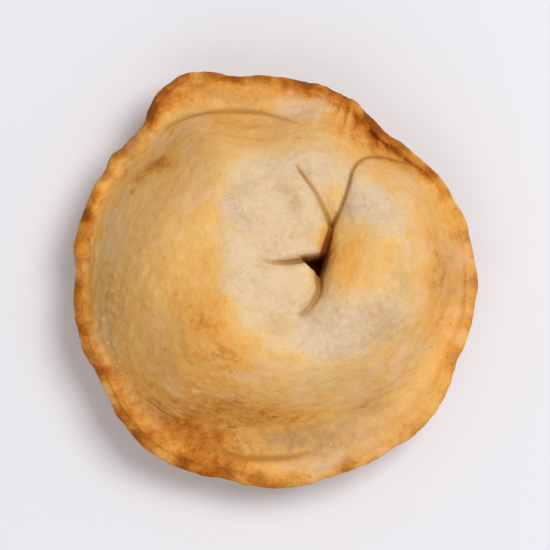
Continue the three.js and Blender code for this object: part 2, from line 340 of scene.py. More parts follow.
def soft_max(a, b, blend):
    """The larger of two heights, with a fillet where they cross."""
    overlap = np.maximum(blend - np.abs(a - b), 0) / blend
    return np.maximum(a, b) + overlap * overlap * blend / 4


def bearing(x, y):
    return np.degrees(np.arctan2(y, x))


def dome_height(x, y, degrees):
    foot = foot_radius(degrees)
    beyond = np.maximum(np.hypot(x, y) - foot, 0)
    width = brim_width(degrees)
    inside = 1 - (np.hypot(x, y) / foot) ** (FLATNESS[0] + FLATNESS[1] * width)
    share = ((inside + np.hypot(inside, FOOT_ROUND)) / 2) ** (STEEPNESS[0] + STEEPNESS[1] * width)
    return SEAM_HEIGHT + (CROWN_HEIGHT - SEAM_HEIGHT) * share - BEYOND_FOOT * beyond


def basin_depth(x, y):
    """How far the skin lies below the ring's crest on the way in to the navel."""
    crest = CREST_RADIUS + swellings(round_navel(x, y), CREST_SWELLINGS)
    inside = np.maximum(1 - (from_navel(x, y) / crest) ** 2, 0)
    return BASIN_DEPTH * inside**BASIN_ROUNDNESS


def unevenness(x, y):
    """Rise of the hollows and plump places of a hand-made skin."""
    total = np.zeros_like(x)
    for rise, along_x, along_y, shift in LUMPS:
        total += rise * np.sin(along_x * x + along_y * y + shift)
    for at_x, at_y, radius, rise in LOBES:
        total += rise * hump(np.hypot(x - at_x, y - at_y), radius)
    return total * (1 - smoothstep(np.hypot(x, y), *LUMPS_FADE))


def brim_top(x, y, degrees):
    foot = foot_radius(degrees)
    width = rim_radius(degrees) - foot
    across = np.clip((np.hypot(x, y) - foot) / width, 0, 1)
    bead = BEAD[2] * hump(across - BEAD[0], BEAD[1])
    valley = VALLEY[2] * hump(across - VALLEY[0], VALLEY[1])
    return seam_height(degrees) + EDGE_HALF + np.minimum(width / FULL_BRIM, 1) * (bead - valley)


def pleat_wave(x, y):
    """Rounded pleats with sharp valleys, -1 to 1, and how much of the pinched joint a place is."""
    turn = np.arctan2(y - FAN_POINT[1], x - FAN_POINT[0])
    share = hump(np.hypot(x - FAN_MIDDLE[0], y - FAN_MIDDLE[1]), FAN_MIDDLE[2])
    ridge = np.sin(FAN_PLEATS / 2 * turn + 0.4 * np.sin(1.9 * x) + 0.3 * np.sin(1.3 * y))
    return 2 * np.hypot(ridge, FAN_VALLEY) - 1, share


def top_height(x, y):
    degrees = bearing(x, y)
    gap_x, gap_y, spread, depth = JOINT_GAP
    joint_gap = depth * hump(np.hypot(x - gap_x, y - gap_y), spread)
    folds, _ = fold_depths(x, y)
    belly = dome_height(x, y, degrees) - basin_depth(x, y) - joint_gap + unevenness(x, y)
    fillet = FILLET[0] + FILLET[1] * brim_width(degrees)
    pleats, pleat_share = pleat_wave(x, y)
    skin = soft_max(belly, brim_top(x, y, degrees), fillet) - folds
    skin += FAN_RISE * pleats * pleat_share
    return skin + (NAVEL_FLOOR - skin) * navel_share(x, y)


# ==== The dough: its skin =======================================================================
# One closed skin of dough: rings of points open out from the navel over the brim, go round the
# double edge with its fine seam, and close in under the belly to the dimple in the flat base.

MM = 0.001
RAYS = 432
DOME_RINGS = 146
BRIM_RINGS = 24
EDGE_RINGS = 22
BELLY_RINGS = 24
EDGE_ROUND = 1.1
EDGE_TURNS = (76, -88)
BRIM_REACH = 0.8 * EDGE_ROUND
SEAM_NOTCH = 0.32
SEAM_NOTCH_WIDTH = 9
BASE_RADIUS = 8.8
BASE_OVAL = 0.5
BASE_LEAN = 25
BELLY_SHAPE = (2.1, 0.62)
DIMPLE = (5.2, -0.4)
DIMPLE_RADIUS = 2.4
DIMPLE_DEPTH = 1.4
DIMPLE_SHAPE = 1.3
DIMPLE_RINGS = (1.9, 1.0, 0.93, 0.84, 0.74, 0.62, 0.48, 0.32, 0.15)

# Rings crowd towards the navel and the base, and their middle drifts from the navel outwards.
DOME_CROWDING = 1.4
BELLY_CROWDING = 0.8
DRIFT_FADE = 1.5

# Rays stand closer where folds run outwards: at degrees, over degrees, how much closer.
RAY_CROWDING = [(72, 34, 1.4), (178, 14, 0.9), (-95, 22, 0.8)]


def quarter_steps(count):
    return np.arange(1, count + 1) / count * math.pi / 2


def crowded_rays():
    """The bearing of every ray in degrees."""
    fine = np.linspace(0, 360, 3601)
    filled = np.concatenate([[0], np.cumsum(1 + swellings(fine, RAY_CROWDING))[:-1]])
    return np.interp(np.arange(RAYS) / RAYS * filled[-1], filled, fine)


def dough_rings():
    """Rows of x, y, z for every ring, from the navel to the dimple."""
    degrees = crowded_rays()
    cos, sin = np.cos(np.radians(degrees)), np.sin(np.radians(degrees))
    foot, rim, seam = foot_radius(degrees), rim_radius(degrees), seam_height(degrees)
    rings = []
    for out in np.sin(quarter_steps(DOME_RINGS)) ** DOME_CROWDING:
        drift = (1 - out) ** DRIFT_FADE
        x = NAVEL[0] * drift + out * foot * cos
        y = NAVEL[1] * drift + out * foot * sin
        rings.append((x, y, top_height(x, y)))
    for across in np.linspace(0, 1, BRIM_RINGS + 2)[1:-1]:
        reach = foot + (rim - BRIM_REACH - foot) * across
        x, y = reach * cos, reach * sin
        rings.append((x, y, top_height(x, y)))
    for turn in np.linspace(*EDGE_TURNS, EDGE_RINGS):
        notch = SEAM_NOTCH * hump(turn, SEAM_NOTCH_WIDTH)
        reach = rim - EDGE_ROUND * (1 - math.cos(math.radians(turn))) - notch
        rings.append((reach * cos, reach * sin, seam + EDGE_HALF * math.sin(math.radians(turn))))
    base = BASE_RADIUS + BASE_OVAL * np.cos(np.radians(2 * (degrees - BASE_LEAN)))
    belly_parts = np.cos(quarter_steps(BELLY_RINGS)).clip(0) ** BELLY_CROWDING
    for part in (1.0, *belly_parts):
        reach = base + (foot - base) * part
        rise = 1 - (1 - part ** BELLY_SHAPE[0]) ** BELLY_SHAPE[1]
        rings.append((reach * cos, reach * sin, (seam - EDGE_HALF) * rise))
    for spread in DIMPLE_RINGS:
        sunk = DIMPLE_DEPTH * (1 - min(spread, 1) ** 2) ** DIMPLE_SHAPE
        x = DIMPLE[0] + DIMPLE_RADIUS * spread * cos
        y = DIMPLE[1] + DIMPLE_RADIUS * spread * sin
        rings.append((x, y, np.full_like(x, sunk)))
    return np.array(rings).transpose(0, 2, 1)


def dough_mesh(name, rings):
    """The closed mesh in metres, standing in the CAD part's box, and its places in millimetres."""
    navel_pole = (*NAVEL, NAVEL_FLOOR)
    dimple_pole = (*DIMPLE, DIMPLE_DEPTH)
    places = np.vstack([rings.reshape(-1, 3), navel_pole, dimple_pole])
    low, high = places.min(axis=0), places.max(axis=0)
    box_low, box_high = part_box("pelmen")
    middle = (np.array(box_low) + np.array(box_high)) / 2
    shift = np.array([middle[0], middle[1], box_low[2]]) / MM
    shift -= [(low[0] + high[0]) / 2, (low[1] + high[1]) / 2, low[2]]
    ray = np.arange(RAYS)
    after = (ray + 1) % RAYS
    faces = []
    for ring in range(len(rings) - 1):
        inner, outer = ring * RAYS, (ring + 1) * RAYS
        faces += np.column_stack([inner + ray, outer + ray, outer + after, inner + after]).tolist()
    neighbours = list(zip(ray.tolist(), after.tolist()))
    last = (len(rings) - 1) * RAYS
    navel_point = last + RAYS
    dimple_point = navel_point + 1
    faces += [(navel_point, a, b) for a, b in neighbours]
    faces += [(dimple_point, last + b, last + a) for a, b in neighbours]
    mesh = bpy.data.meshes.new(name)
    mesh.from_pydata(((places + shift) * MM).tolist(), [], faces)
    mesh.update()
    mesh.polygons.foreach_set("use_smooth", [True] * len(mesh.polygons))
    return mesh, places


skin_mesh, skin_places = dough_mesh("pelmen_dough", dough_rings())
dough = bpy.data.objects.new("pelmen_dough", skin_mesh)
scene.collection.objects.link(dough)


# ==== The dough: how it is baked, with painted shade ============================================
# The crust is palest where flour lies on it, inside the ring's crest, golden outside that, and
# brown on thin edges, on the steep front and at the pinched joint. Folds, pleat valleys and the
# navel are darkened with painted shade, as are the valleys of the brim and the shaded sides.

# Toast runs from 0, cream, to 1, dark brown. The bare crust's, and what the top's flour takes off.
BARE_TOAST = 0.50
PALE_TOAST = -0.24

# Reach of the floury top round the navel, in millimetres: at degrees, over degrees, rise. It ends
# softly between two shares of that reach.
FLOUR_REACH = 9.3
FLOUR_SWELLINGS = [(128, 22, 3.0), (170, 30, -0.3), (-5, 30, 0.2), (90, 18, 1.0)]
FLOUR_END = (0.80, 1.12)
TOP_FLOUR = 0.80
UNDER_FLOUR = 0.15

# The pressed edge browns more. The band: how far in from the outline that starts and is full.
EDGE_BAND = (2.4, 0.1)
EDGE_LEAST = 0.14
EDGE_TOAST = [(168, 45, 0.10), (115, 30, 0.16), (78, 14, 0.14), (-110, 45, 0.08), (0, 45, 0.04)]
UNDER_EDGE_TOAST = 0.25
BASE_TOAST = 0.14

# Uneven browning of that edge: count round the outline, shift in degrees, how much more.
EDGE_SPOTS = [(17, 100, 0.05), (31, 20, 0.05), (53, 60, 0.04)]

# How dark the painted shade along the folds is, less in a belt round the navel: its distance,
# its width, how much less. Painted shade also darkens the navel and the pleat valleys, and the
# pleat ridges are painted a little paler.
FOLD_SHADE = 0.80
FOLD_LIGHTER = (5.0, 2.2, 0.24)
NAVEL_SHADE = 1.6
PLEAT_SHADE = 0.10
PLEAT_TOAST = 0.06

# The tucked end lies in shadow beside the navel: x, y, radius, how much darker.
TUCK_SHADOW = (4.7, 2.4, 2.1, 0.60)

# How blistered the edge and the underside are, and how much smoother the skin is in a fold.
EDGE_BLISTERED = 0.25
UNDER_BLISTERED = 0.6
FOLD_SMOOTHNESS = 0.85

# Places with their own shade: x, y, half-length, half-width, lean in degrees, how much more.
TOASTED = [
    (-5.8, -5.8, 3.8, 2.3, -50, 0.15),
    (-3.4, -9.2, 3.2, 1.8, -24, 0.08),
    # Painted light: paler on the front slope, which faces away from the key lamp.
    (2.8, -11.0, 5.0, 1.8, 12, -0.12),
    (-1.4, -12.7, 6.0, 1.5, -4, 0.25),
    (-10.2, -9.2, 7.0, 3.0, -45, 0.10),
    (-12.0, -11.0, 2.6, 3.6, -40, 0.06),
    (-6.8, -15.2, 5.4, 2.0, -24, 0.28),
    (-4.0, -15.6, 3.0, 1.3, -6, 0.08),
    (-7.4, -17.3, 5.4, 1.5, -24, 0.12),
    (-15.4, -8.9, 2.6, 1.0, -60, 0.14),
    (-17.7, -4.5, 1.1, 3.4, 6, 0.20),
    (-17.6, 4.0, 1.0, 4.0, -6, 0.16),
    # Painted light: paler on the steep shaded foot at the left.
    (-14.6, 3.8, 1.4, 3.0, -10, -0.12),
    (-11.6, 6.4, 1.8, 1.8, 0, -0.08),
    (-11.1, 9.8, 1.6, 1.2, 10, 0.26),
    (-12.5, 8.8, 0.42, 0.38, 30, 0.24),
    (-13.3, 7.7, 0.38, 0.34, 0, 0.30),
    (-9.4, 10.2, 2.4, 1.6, 40, 0.06),
    (-13.8, 11.0, 3.4, 1.0, 50, 0.06),
    (-9.2, 16.5, 3.6, 1.2, 28, 0.24),
    (0.8, 17.7, 6.5, 1.0, -8, 0.12),
    (-4.8, 13.6, 2.4, 1.6, 0, 0.09),
    (8.8, 13.9, 3.0, 2.1, -42, 0.31),
    (5.8, 14.2, 1.2, 1.6, 10, 0.05),
    (10.8, 12.4, 2.2, 0.9, -46, 0.12),
    (13.2, 10.9, 2.6, 0.6, -42, 0.14),
    (11.6, 10.3, 3.2, 0.8, -22, 0.14),
    (15.2, 8.7, 1.6, 0.8, -50, 0.12),
    (15.5, 0.2, 1.7, 5.2, 0, 0.18),
    (11.6, -0.4, 1.8, 3.2, 0, 0.08),
    (4.8, 1.7, 2.6, 0.7, 76, 0.34),
    (6.4, 0.6, 1.5, 3.4, -12, 0.30),
    (8.8, 0.4, 2.6, 3.6, -10, 0.20),
    (5.2, 5.8, 0.9, 2.6, -10, 0.14),
    (8.6, -5.0, 2.4, 2.0, 10, 0.12),
]
FLOURED = [
    # Painted highlight: more flour on the right lobe's lit top.
    (9.4, 5.8, 2.6, 3.2, -30, 0.45),
    (5.4, -6.0, 3.0, 2.2, 20, 0.35),
    (8.8, -9.2, 5.4, 2.6, 42, 0.42),
    (12.8, -5.8, 2.4, 4.4, 15, 0.28),
    (8.0, -14.8, 6.0, 1.7, 32, 0.50),
    (2.5, -17.6, 5.0, 0.9, 8, 0.45),
    (17.7, -0.6, 0.8, 6.0, 4, 0.25),
    (2.0, 13.2, 5.5, 2.0, -6, 0.34),
    (3.0, 15.9, 3.4, 1.2, -6, 0.75),
    (4.5, 10.0, 2.2, 1.6, 0, 0.20),
    (5.0, 11.4, 2.4, 1.4, 0, 0.30),
    (-13.4, 11.6, 1.4, 0.8, 40, 0.25),
    # Painted light: paler on the steep shaded foot at the left.
    (-14.4, 3.8, 1.6, 3.0, 0, 0.20),
    (5.3, 5.8, 0.9, 2.6, -12, -0.40),
    (8.8, 14.2, 3.6, 2.4, -40, -0.60),
    (4.8, 1.7, 2.6, 0.8, 76, -0.80),
    (7.6, 0.6, 3.2, 3.8, -12, -0.80),
    (11.6, -0.4, 1.8, 3.2, 0, -0.35),
    (0.4, -5.4, 1.8, 1.4, 0, -0.20),
    (-5.8, -5.8, 3.4, 1.8, -50, -0.40),
    (-2.6, -9.4, 6.0, 2.8, -10, -0.50),
    (-1.4, -12.7, 6.0, 1.5, -4, -0.50),
    (-10.4, -9.4, 7.0, 3.2, -45, -0.30),
    (-10.8, 9.9, 2.2, 1.4, 35, -0.80),
    (-3.4, 12.4, 3.0, 2.2, 0, -0.30),
]
# The dulled places are greyer and darker: mostly painted shade, in the brim's valleys and on the
# shaded sides.
DULLED_AND_SHADED = [
    (2.0, -15.3, 5.2, 1.6, 6, 1.05),
    (8.4, -12.6, 4.0, 1.2, 28, 0.7),
    (10.8, -14.6, 6.5, 3.0, 32, 0.45),
    (-11.4, -12.2, 2.6, 1.4, -40, 0.5),
    (-15.6, -3.4, 2.0, 4.4, 4, 0.45),
    (-13.6, 11.2, 3.4, 1.0, 50, 0.5),
    (-8.8, 14.6, 2.6, 0.5, 22, 0.7),
    (-3.4, 15.5, 3.6, 0.5, -4, 0.7),
    (1.2, 6.4, 1.3, 2.6, 24, 0.75),
    (0.2, -5.6, 2.2, 1.6, 0, 0.6),
    (9.6, -5.2, 2.6, 2.4, 0, 0.8),
    (11.6, -0.4, 1.6, 2.8, 0, 0.5),
    (16.8, 0.2, 2.2, 5.0, 0, 0.75),
]
BLISTERED = [
    (-14.6, -3.6, 3.2, 6.5, 0, 1.0),
    (-13.6, 11.6, 2.6, 1.6, 40, 1.0),
    (-8.6, -11.0, 6.0, 3.4, -38, 0.8),
    (9.0, 13.4, 3.6, 2.6, -40, 0.4),
    (3.0, -15.4, 6.0, 1.6, 6, 0.5),
    (6.4, -6.0, 3.4, 2.6, 20, 0.35),
    (12.0, -2.0, 2.6, 5.5, 0, 0.35),
    (-1.0, -3.0, 3.0, 3.0, 0, 0.30),
]


def patches(x, y, table):
    """The sum of a table's soft oval patches at every place."""
    total = np.zeros_like(x)
    for at_x, at_y, length, width, lean, rise in table:
        cos, sin = math.cos(math.radians(lean)), math.sin(math.radians(lean))
        lengthwise = (x - at_x) * cos + (y - at_y) * sin
        across = (y - at_y) * cos - (x - at_x) * sin
        total += rise * hump(np.hypot(lengthwise / length, across / width), 1)
    return total


def wander(x, y):
    """Moves a place by up to half a millimetre, so that no patch keeps an even edge."""
    moved_x = x + 0.25 * np.sin(1.7 * y + 0.6 * x + 1.0) + 0.08 * np.sin(3.9 * y - 1.3 * x)
    moved_y = y + 0.25 * np.sin(1.5 * x - 0.7 * y + 2.0) + 0.08 * np.sin(4.3 * x + 1.1 * y)
    return moved_x, moved_y


def baked_and_shaded(places):
    """For every point of the skin, by name: its toast, flour, dull tone, painted shade and so on.
    """
    x, y, z = places.T
    degrees = bearing(x, y)
    out = np.hypot(x, y)
    under = smoothstep(seam_height(degrees) - z, -0.4, 0.6)
    above = 1 - under
    reach = FLOUR_REACH + swellings(round_navel(x, y), FLOUR_SWELLINGS)
    moved_x, moved_y = wander(x, y)
    pale = 1 - smoothstep(from_navel(moved_x, moved_y) / reach, *FLOUR_END)
    edge = smoothstep(rim_radius(degrees) - out, *EDGE_BAND)
    edge_toast = EDGE_LEAST + swellings(degrees, EDGE_TOAST) + waves(degrees, EDGE_SPOTS)
    toast = BARE_TOAST + PALE_TOAST * pale + patches(moved_x, moved_y, TOASTED) + edge_toast * edge
    under_toast = BARE_TOAST + UNDER_EDGE_TOAST * edge + BASE_TOAST * smoothstep(-z, -1.6, 0.0)
    toast = toast * above + under_toast * under
    flour = TOP_FLOUR * pale + patches(moved_x, moved_y, FLOURED)
    flour = flour * above + UNDER_FLOUR * under
    # Painted shade along the folds, in the pleat valleys, beside the tucked end and in the navel.
    _, crease_shade = fold_depths(x, y)
    pleats, pleat_share = pleat_wave(x, y)
    pleat_valley = PLEAT_SHADE * pleat_share * smoothstep(-pleats, 0.0, 1.0)
    shadow_x, shadow_y, spread, shadow = TUCK_SHADOW
    shadow *= hump(np.hypot(x - shadow_x, y - shadow_y), spread) * smoothstep(crease_shade, 0.3, 1.5)
    distance, width, lighter = FOLD_LIGHTER
    lighter *= hump(from_navel(x, y) - distance, width)
    fold = (FOLD_SHADE - lighter) * smoothstep(crease_shade, 0.0, 1.1) + shadow
    crease_shade = np.maximum(np.maximum(fold, NAVEL_SHADE * navel_share(x, y)), pleat_valley)
    blistered = np.clip(patches(x, y, BLISTERED) + EDGE_BLISTERED * edge, 0, 1)
    blistered = blistered * above + UNDER_BLISTERED * under
    resting = smoothstep(z, 0.1, 1.2)
    return {
        "toast": toast - PLEAT_TOAST * pleat_share * pleats,
        "flour": flour,
        "crease_shade": crease_shade * above,
        "dull_and_shade": patches(moved_x, moved_y, DULLED_AND_SHADED) * above,
        "blistered": blistered * resting,
        "relief": (1 - FOLD_SMOOTHNESS * smoothstep(crease_shade, 0.1, 0.8)) * resting,
    }


for shade_name, values in baked_and_shaded(skin_places).items():
    shade = skin_mesh.attributes.new(shade_name, "FLOAT", "POINT")
    shade.data.foreach_set("value", values.astype(np.float32))


# ==== The dough: the relief of its crust ========================================================
# Baked dough is never quite smooth. Its skin has soft dents a few millimetres wide, a fine grain,
# and low blisters where steam lifted it, mostly on the left, along the edge and underneath.

RELIEF_SIZES = {
    "Dent Size": 0.0042,
    "Dent Height": 0.00028,
    "Grain Size": 0.0010,
    "Grain Height": 0.00013,
    "Blistered Grain": 1.2,
    "Blister Spacing": 0.0012,
    "Blister Height": 0.00024,
    "Seed": 4.0,
}

# Radii of a blister as shares of the spacing.
LEAST_BLISTER = 0.20
WIDEST_BLISTER = 0.46


def add_node(tree, kind, inputs=(), **settings):
    """A new node with its settings, and its inputs either joined or given a value."""
    node = tree.nodes.new(kind)
    for name, value in settings.items():
        setattr(node, name, value)
    for key, value in dict(inputs).items():
        if isinstance(value, bpy.types.NodeSocket):
            tree.links.new(value, node.inputs[key])
        else:
            node.inputs[key].default_value = value
    return node


def sums(tree, operation, *values):
    """The result of one Math operation on two or three values or sockets."""
    return add_node(tree, "ShaderNodeMath", enumerate(values), operation=operation).outputs[0]


def eased(tree, value, low, high, kind="SMOOTHSTEP"):
    """From 0 to 1 while a value goes from low to high."""
    inputs = {"Value": value, "From Min": low, "From Max": high}
    return add_node(tree, "ShaderNodeMapRange", inputs, interpolation_type=kind).outputs["Result"]


def new_tree(name, sizes):
    """A geometry tree that takes a shape and named numbers, with the ends of both."""
    tree = bpy.data.node_groups.new(name, "GeometryNodeTree")
    tree.interface.new_socket("Geometry", in_out="OUTPUT", socket_type="NodeSocketGeometry")
    tree.interface.new_socket("Geometry", in_out="INPUT", socket_type="NodeSocketGeometry")
    for size_name in sizes:
        tree.interface.new_socket(size_name, in_out="INPUT", socket_type="NodeSocketFloat")
    tree.interface.new_socket("Material", in_out="INPUT", socket_type="NodeSocketMaterial")
    return tree, tree.nodes.new("NodeGroupInput").outputs, tree.nodes.new("NodeGroupOutput").inputs


def stored(tree, name):
    """One of the skin's named shades, inside a geometry tree."""
    named = add_node(tree, "GeometryNodeInputNamedAttribute", {"Name": name}, data_type="FLOAT")
    return named.outputs["Attribute"]


def grown(tree, maker, sizes, material):
    """The plain mesh that a geometry tree makes of an object's mesh."""
    modifier = maker.modifiers.new(tree.name, "NODES")
    modifier.node_group = tree
    values = {**sizes, "Material": material}
    for item in tree.interface.items_tree:
        if item.in_out == "INPUT" and item.name in values:
            modifier[item.identifier] = values[item.name]
    evaluated = maker.evaluated_get(bpy.context.evaluated_depsgraph_get())
    mesh = bpy.data.meshes.new_from_object(evaluated)
    maker.modifiers.remove(modifier)
    return mesh


def relief_tree():
    tree, given, result = new_tree("dough_relief", RELIEF_SIZES)

    def rough(size, height):
        inputs = {
            "Scale": sums(tree, "DIVIDE", 1.0, size),
            "W": given["Seed"],
            "Detail": 2.0,
            "Roughness": 0.45,
        }
        noise = add_node(tree, "ShaderNodeTexNoise", inputs, noise_dimensions="4D").outputs[0]
        return sums(tree, "MULTIPLY", sums(tree, "MULTIPLY_ADD", noise, 2.0, -1.0), height)

    place = add_node(tree, "GeometryNodeInputPosition").outputs[0]
    cell_inputs = {"Vector": place, "Scale": sums(tree, "DIVIDE", 1.0, given["Blister Spacing"])}
    cells = add_node(tree, "ShaderNodeTexVoronoi", cell_inputs)
    chance = add_node(tree, "FunctionNodeSeparateColor", {0: cells.outputs["Color"]}).outputs
    width = sums(tree, "MULTIPLY_ADD", chance[1], WIDEST_BLISTER - LEAST_BLISTER, LEAST_BLISTER)
    ratio = sums(tree, "MINIMUM", sums(tree, "DIVIDE", cells.outputs["Distance"], width), 1.0)
    blister = sums(tree, "SUBTRACT", 1.0, sums(tree, "POWER", ratio, 2.0))
    lifted = eased(tree, sums(tree, "ADD", chance[0], stored(tree, "blistered")), 1.05, 1.75)
    blister = sums(tree, "MULTIPLY", sums(tree, "POWER", blister, 1.5), lifted)

    coarser = sums(tree, "MULTIPLY_ADD", stored(tree, "blistered"), given["Blistered Grain"], 1.0)
    grain = sums(tree, "MULTIPLY", rough(given["Grain Size"], given["Grain Height"]), coarser)
    height = sums(tree, "ADD", rough(given["Dent Size"], given["Dent Height"]), grain)
    height = sums(tree, "MULTIPLY_ADD", blister, given["Blister Height"], height)
    height = sums(tree, "MULTIPLY", height, stored(tree, "relief"))
    normal = add_node(tree, "GeometryNodeInputNormal").outputs[0]
    lift = add_node(tree, "ShaderNodeVectorMath", {0: normal, "Scale": height}, operation="SCALE")
    store = {"Geometry": given["Geometry"], "Name": "blister", "Value": blister}
    kept = {"data_type": "FLOAT", "domain": "POINT"}
    marked = add_node(tree, "GeometryNodeStoreNamedAttribute", store, **kept)
    move = {0: marked.outputs[0], "Offset": lift.outputs[0]}
    moved = add_node(tree, "GeometryNodeSetPosition", move)
    plain = add_node(tree, "GeometryNodeRealizeInstances", {0: moved.outputs[0]})
    coated_inputs = {0: plain.outputs[0], "Material": given["Material"]}
    coated = add_node(tree, "GeometryNodeSetMaterial", coated_inputs)
    tree.links.new(coated.outputs[0], result[0])
    return tree


# ==== The dough: the look of its crust ==========================================================
# Wheat crust in all its shades from floury cream through gold to brown, matt under the flour and
# faintly satin where bare, with a fine grain and small browned specks, and painted shade in its
# folds, navel and valleys.

CRUST = [
    (0.00, (0.77, 0.58, 0.35)),
    (0.20, (0.76, 0.53, 0.27)),
    (0.40, (0.75, 0.46, 0.165)),
    (0.52, (0.75, 0.41, 0.118)),
    (0.64, (0.73, 0.35, 0.075)),
    (0.76, (0.57, 0.225, 0.032)),
    (0.88, (0.41, 0.115, 0.007)),
    (1.00, (0.24, 0.06, 0.004)),
]
FLOUR_COLOUR = (0.655, 0.50, 0.355, 1.0)
THIN_FLOUR_COLOUR = (0.48, 0.37, 0.265, 1.0)
BLUSH_COLOUR = (0.80, 0.52, 0.36, 1.0)
# Colours of painted shade: in the dulled places, which also take random scurf, in the folds and in
# the navel.
DULL_SHADE_COLOUR = (0.425, 0.253, 0.108, 1.0)
FOLD_SHADE_COLOUR = (0.37, 0.175, 0.022, 1.0)
NAVEL_SHADE_COLOUR = (0.27, 0.066, 0.011, 1.0)

# Noises that break up a shade, each with its size in metres and its strength.
MOTTLES = [(0.0042, 0.14), (0.0016, 0.12), (0.0007, 0.14), (0.0003, 0.10)]
FLOUR_GRAIN = [(0.0034, 0.20), (0.0010, 0.34), (0.0005, 0.26), (0.00022, 0.30)]
THIN_GRAIN = [(0.0006, 0.45)]
DULL_SHADE_GRAIN = [(0.0012, 0.25)]
THIN_SIZE = 0.0021
BLUSH_SIZE = 0.0036
SCURF_SIZE = 0.0007
SCURF_STRENGTH = 2.2
SCURF_MIDDLE = 0.42

# How much of each shows at most, and what a speck or a blister does to the toast and the flour.
MOST_FLOUR = 0.80
MOST_BLUSH = 0.30
MOST_THIN = 0.72
DULL_SHADE_SHARE = 0.55
SPECK_SPACING = 0.0011
SPECK_TOAST = 0.14
BLISTER_TOAST = -0.13
BLISTER_FLOUR = 0.28

# Roughness of the bare crust and of the floury crust.
SKIN_ROUGHNESS = (0.70, 0.90)
SKIN_SETTINGS = {
    "Specular IOR Level": 0.12,
    "Subsurface Weight": 0.08,
    "Subsurface Radius": (1.0, 0.5, 0.2),
    "Subsurface Scale": 0.001,
}
GRAIN_BUMP = 0.00007


def crust_material():
    material = bpy.data.materials.new("baked_dough")
    material.use_nodes = True
    tree = material.node_tree
    shader = tree.nodes["Principled BSDF"]
    place = add_node(tree, "ShaderNodeTexCoord").outputs["Object"]

    def painted(name):
        return add_node(tree, "ShaderNodeAttribute", attribute_name=name).outputs["Fac"]

    def grain(size, detail=3.0):
        inputs = {"Vector": place, "Scale": 1 / size, "Detail": detail, "Roughness": 0.55}
        return add_node(tree, "ShaderNodeTexNoise", inputs).outputs["Fac"]

    def mottled(value, table):
        for size, strength in table:
            noise = sums(tree, "MULTIPLY_ADD", grain(size), 2 * strength, -strength)
            value = sums(tree, "ADD", value, noise)
        return value

    def mix(share, under, over):
        inputs = {0: share, 6: under, 7: over}
        return add_node(tree, "ShaderNodeMix", inputs, data_type="RGBA").outputs[2]

    specks = add_node(tree, "ShaderNodeTexVoronoi", {"Vector": place, "Scale": 1 / SPECK_SPACING})
    speck = eased(tree, specks.outputs["Distance"], 0.26, 0.10)
    chance = add_node(tree, "ShaderNodeSeparateColor", {0: specks.outputs["Color"]}).outputs[0]
    speck = sums(tree, "MULTIPLY", speck, eased(tree, chance, 0.72, 0.95))
    toast = mottled(painted("toast"), MOTTLES)
    toast = sums(tree, "MULTIPLY_ADD", painted("blister"), BLISTER_TOAST, toast)
    toast = sums(tree, "MULTIPLY_ADD", speck, SPECK_TOAST, toast)
    ramp = add_node(tree, "ShaderNodeValToRGB", {"Fac": toast})
    stops = ramp.color_ramp.elements
    while len(stops) < len(CRUST):
        stops.new(0.5)
    for stop, (position, colour) in zip(stops, CRUST):
        stop.position = position
        stop.color = (*colour, 1.0)
    flour = mottled(painted("flour"), FLOUR_GRAIN)
    flour = sums(tree, "MULTIPLY_ADD", painted("blister"), BLISTER_FLOUR, flour)
    flour_share = sums(tree, "MULTIPLY", eased(tree, flour, 0.20, 1.10), MOST_FLOUR)
    blush = sums(tree, "MULTIPLY", eased(tree, grain(BLUSH_SIZE, 2.0), 0.52, 0.72), MOST_BLUSH)
    blush = sums(tree, "MULTIPLY", blush, eased(tree, toast, 0.80, 0.60))
    colour = mix(blush, ramp.outputs["Color"], BLUSH_COLOUR)
    thin = eased(tree, mottled(grain(THIN_SIZE), THIN_GRAIN), 0.40, 0.76)
    thin = sums(tree, "MULTIPLY", thin, MOST_THIN)
    colour = mix(flour_share, colour, mix(thin, FLOUR_COLOUR, THIN_FLOUR_COLOUR))
    scurf = sums(tree, "SUBTRACT", grain(SCURF_SIZE, 2.0), SCURF_MIDDLE)
    scurf = sums(tree, "MULTIPLY", scurf, SCURF_STRENGTH)
    scurf = sums(tree, "MULTIPLY", scurf, painted("blistered"))
    dull_and_shade = sums(tree, "ADD", mottled(painted("dull_and_shade"), DULL_SHADE_GRAIN), scurf)
    dull_and_shade = sums(tree, "MULTIPLY", dull_and_shade, DULL_SHADE_SHARE)
    # Painted shade, broken by random scurf, in the dulled places.
    colour = mix(eased(tree, dull_and_shade, 0.05, 0.9), colour, DULL_SHADE_COLOUR)
    # Painted shade along the folds, darkest in the navel.
    colour = mix(eased(tree, painted("crease_shade"), 0.0, 1.0, "LINEAR"), colour, FOLD_SHADE_COLOUR)
    colour = mix(eased(tree, painted("crease_shade"), 0.75, 1.4), colour, NAVEL_SHADE_COLOUR)
    tree.links.new(colour, shader.inputs["Base Color"])

    bare, floury = SKIN_ROUGHNESS
    rough_span = {"Value": flour_share, "To Min": bare, "To Max": floury}
    rough = add_node(tree, "ShaderNodeMapRange", rough_span)
    tree.links.new(rough.outputs["Result"], shader.inputs["Roughness"])
    for setting, value in SKIN_SETTINGS.items():
        shader.inputs[setting].default_value = value

    fine = sums(tree, "MULTIPLY_ADD", grain(0.0009), 1.4, grain(0.00030))
    bump = add_node(tree, "ShaderNodeBump", {"Height": fine, "Distance": GRAIN_BUMP})
    tree.links.new(bump.outputs["Normal"], shader.inputs["Normal"])
    return material


crust = crust_material()
dough.data = grown(relief_tree(), dough, RELIEF_SIZES, crust)
dough.data.name = "pelmen_dough"

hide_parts("pelmen")
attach(dough, "root")


# ==== Loose flour ===============================================================================
# Flour from the board stays on the crust in flat clumps, 0.05 to 0.35 mm across, thickest on the
# pale top and kept out of the folds. Each clump lies half sunk in the dough.

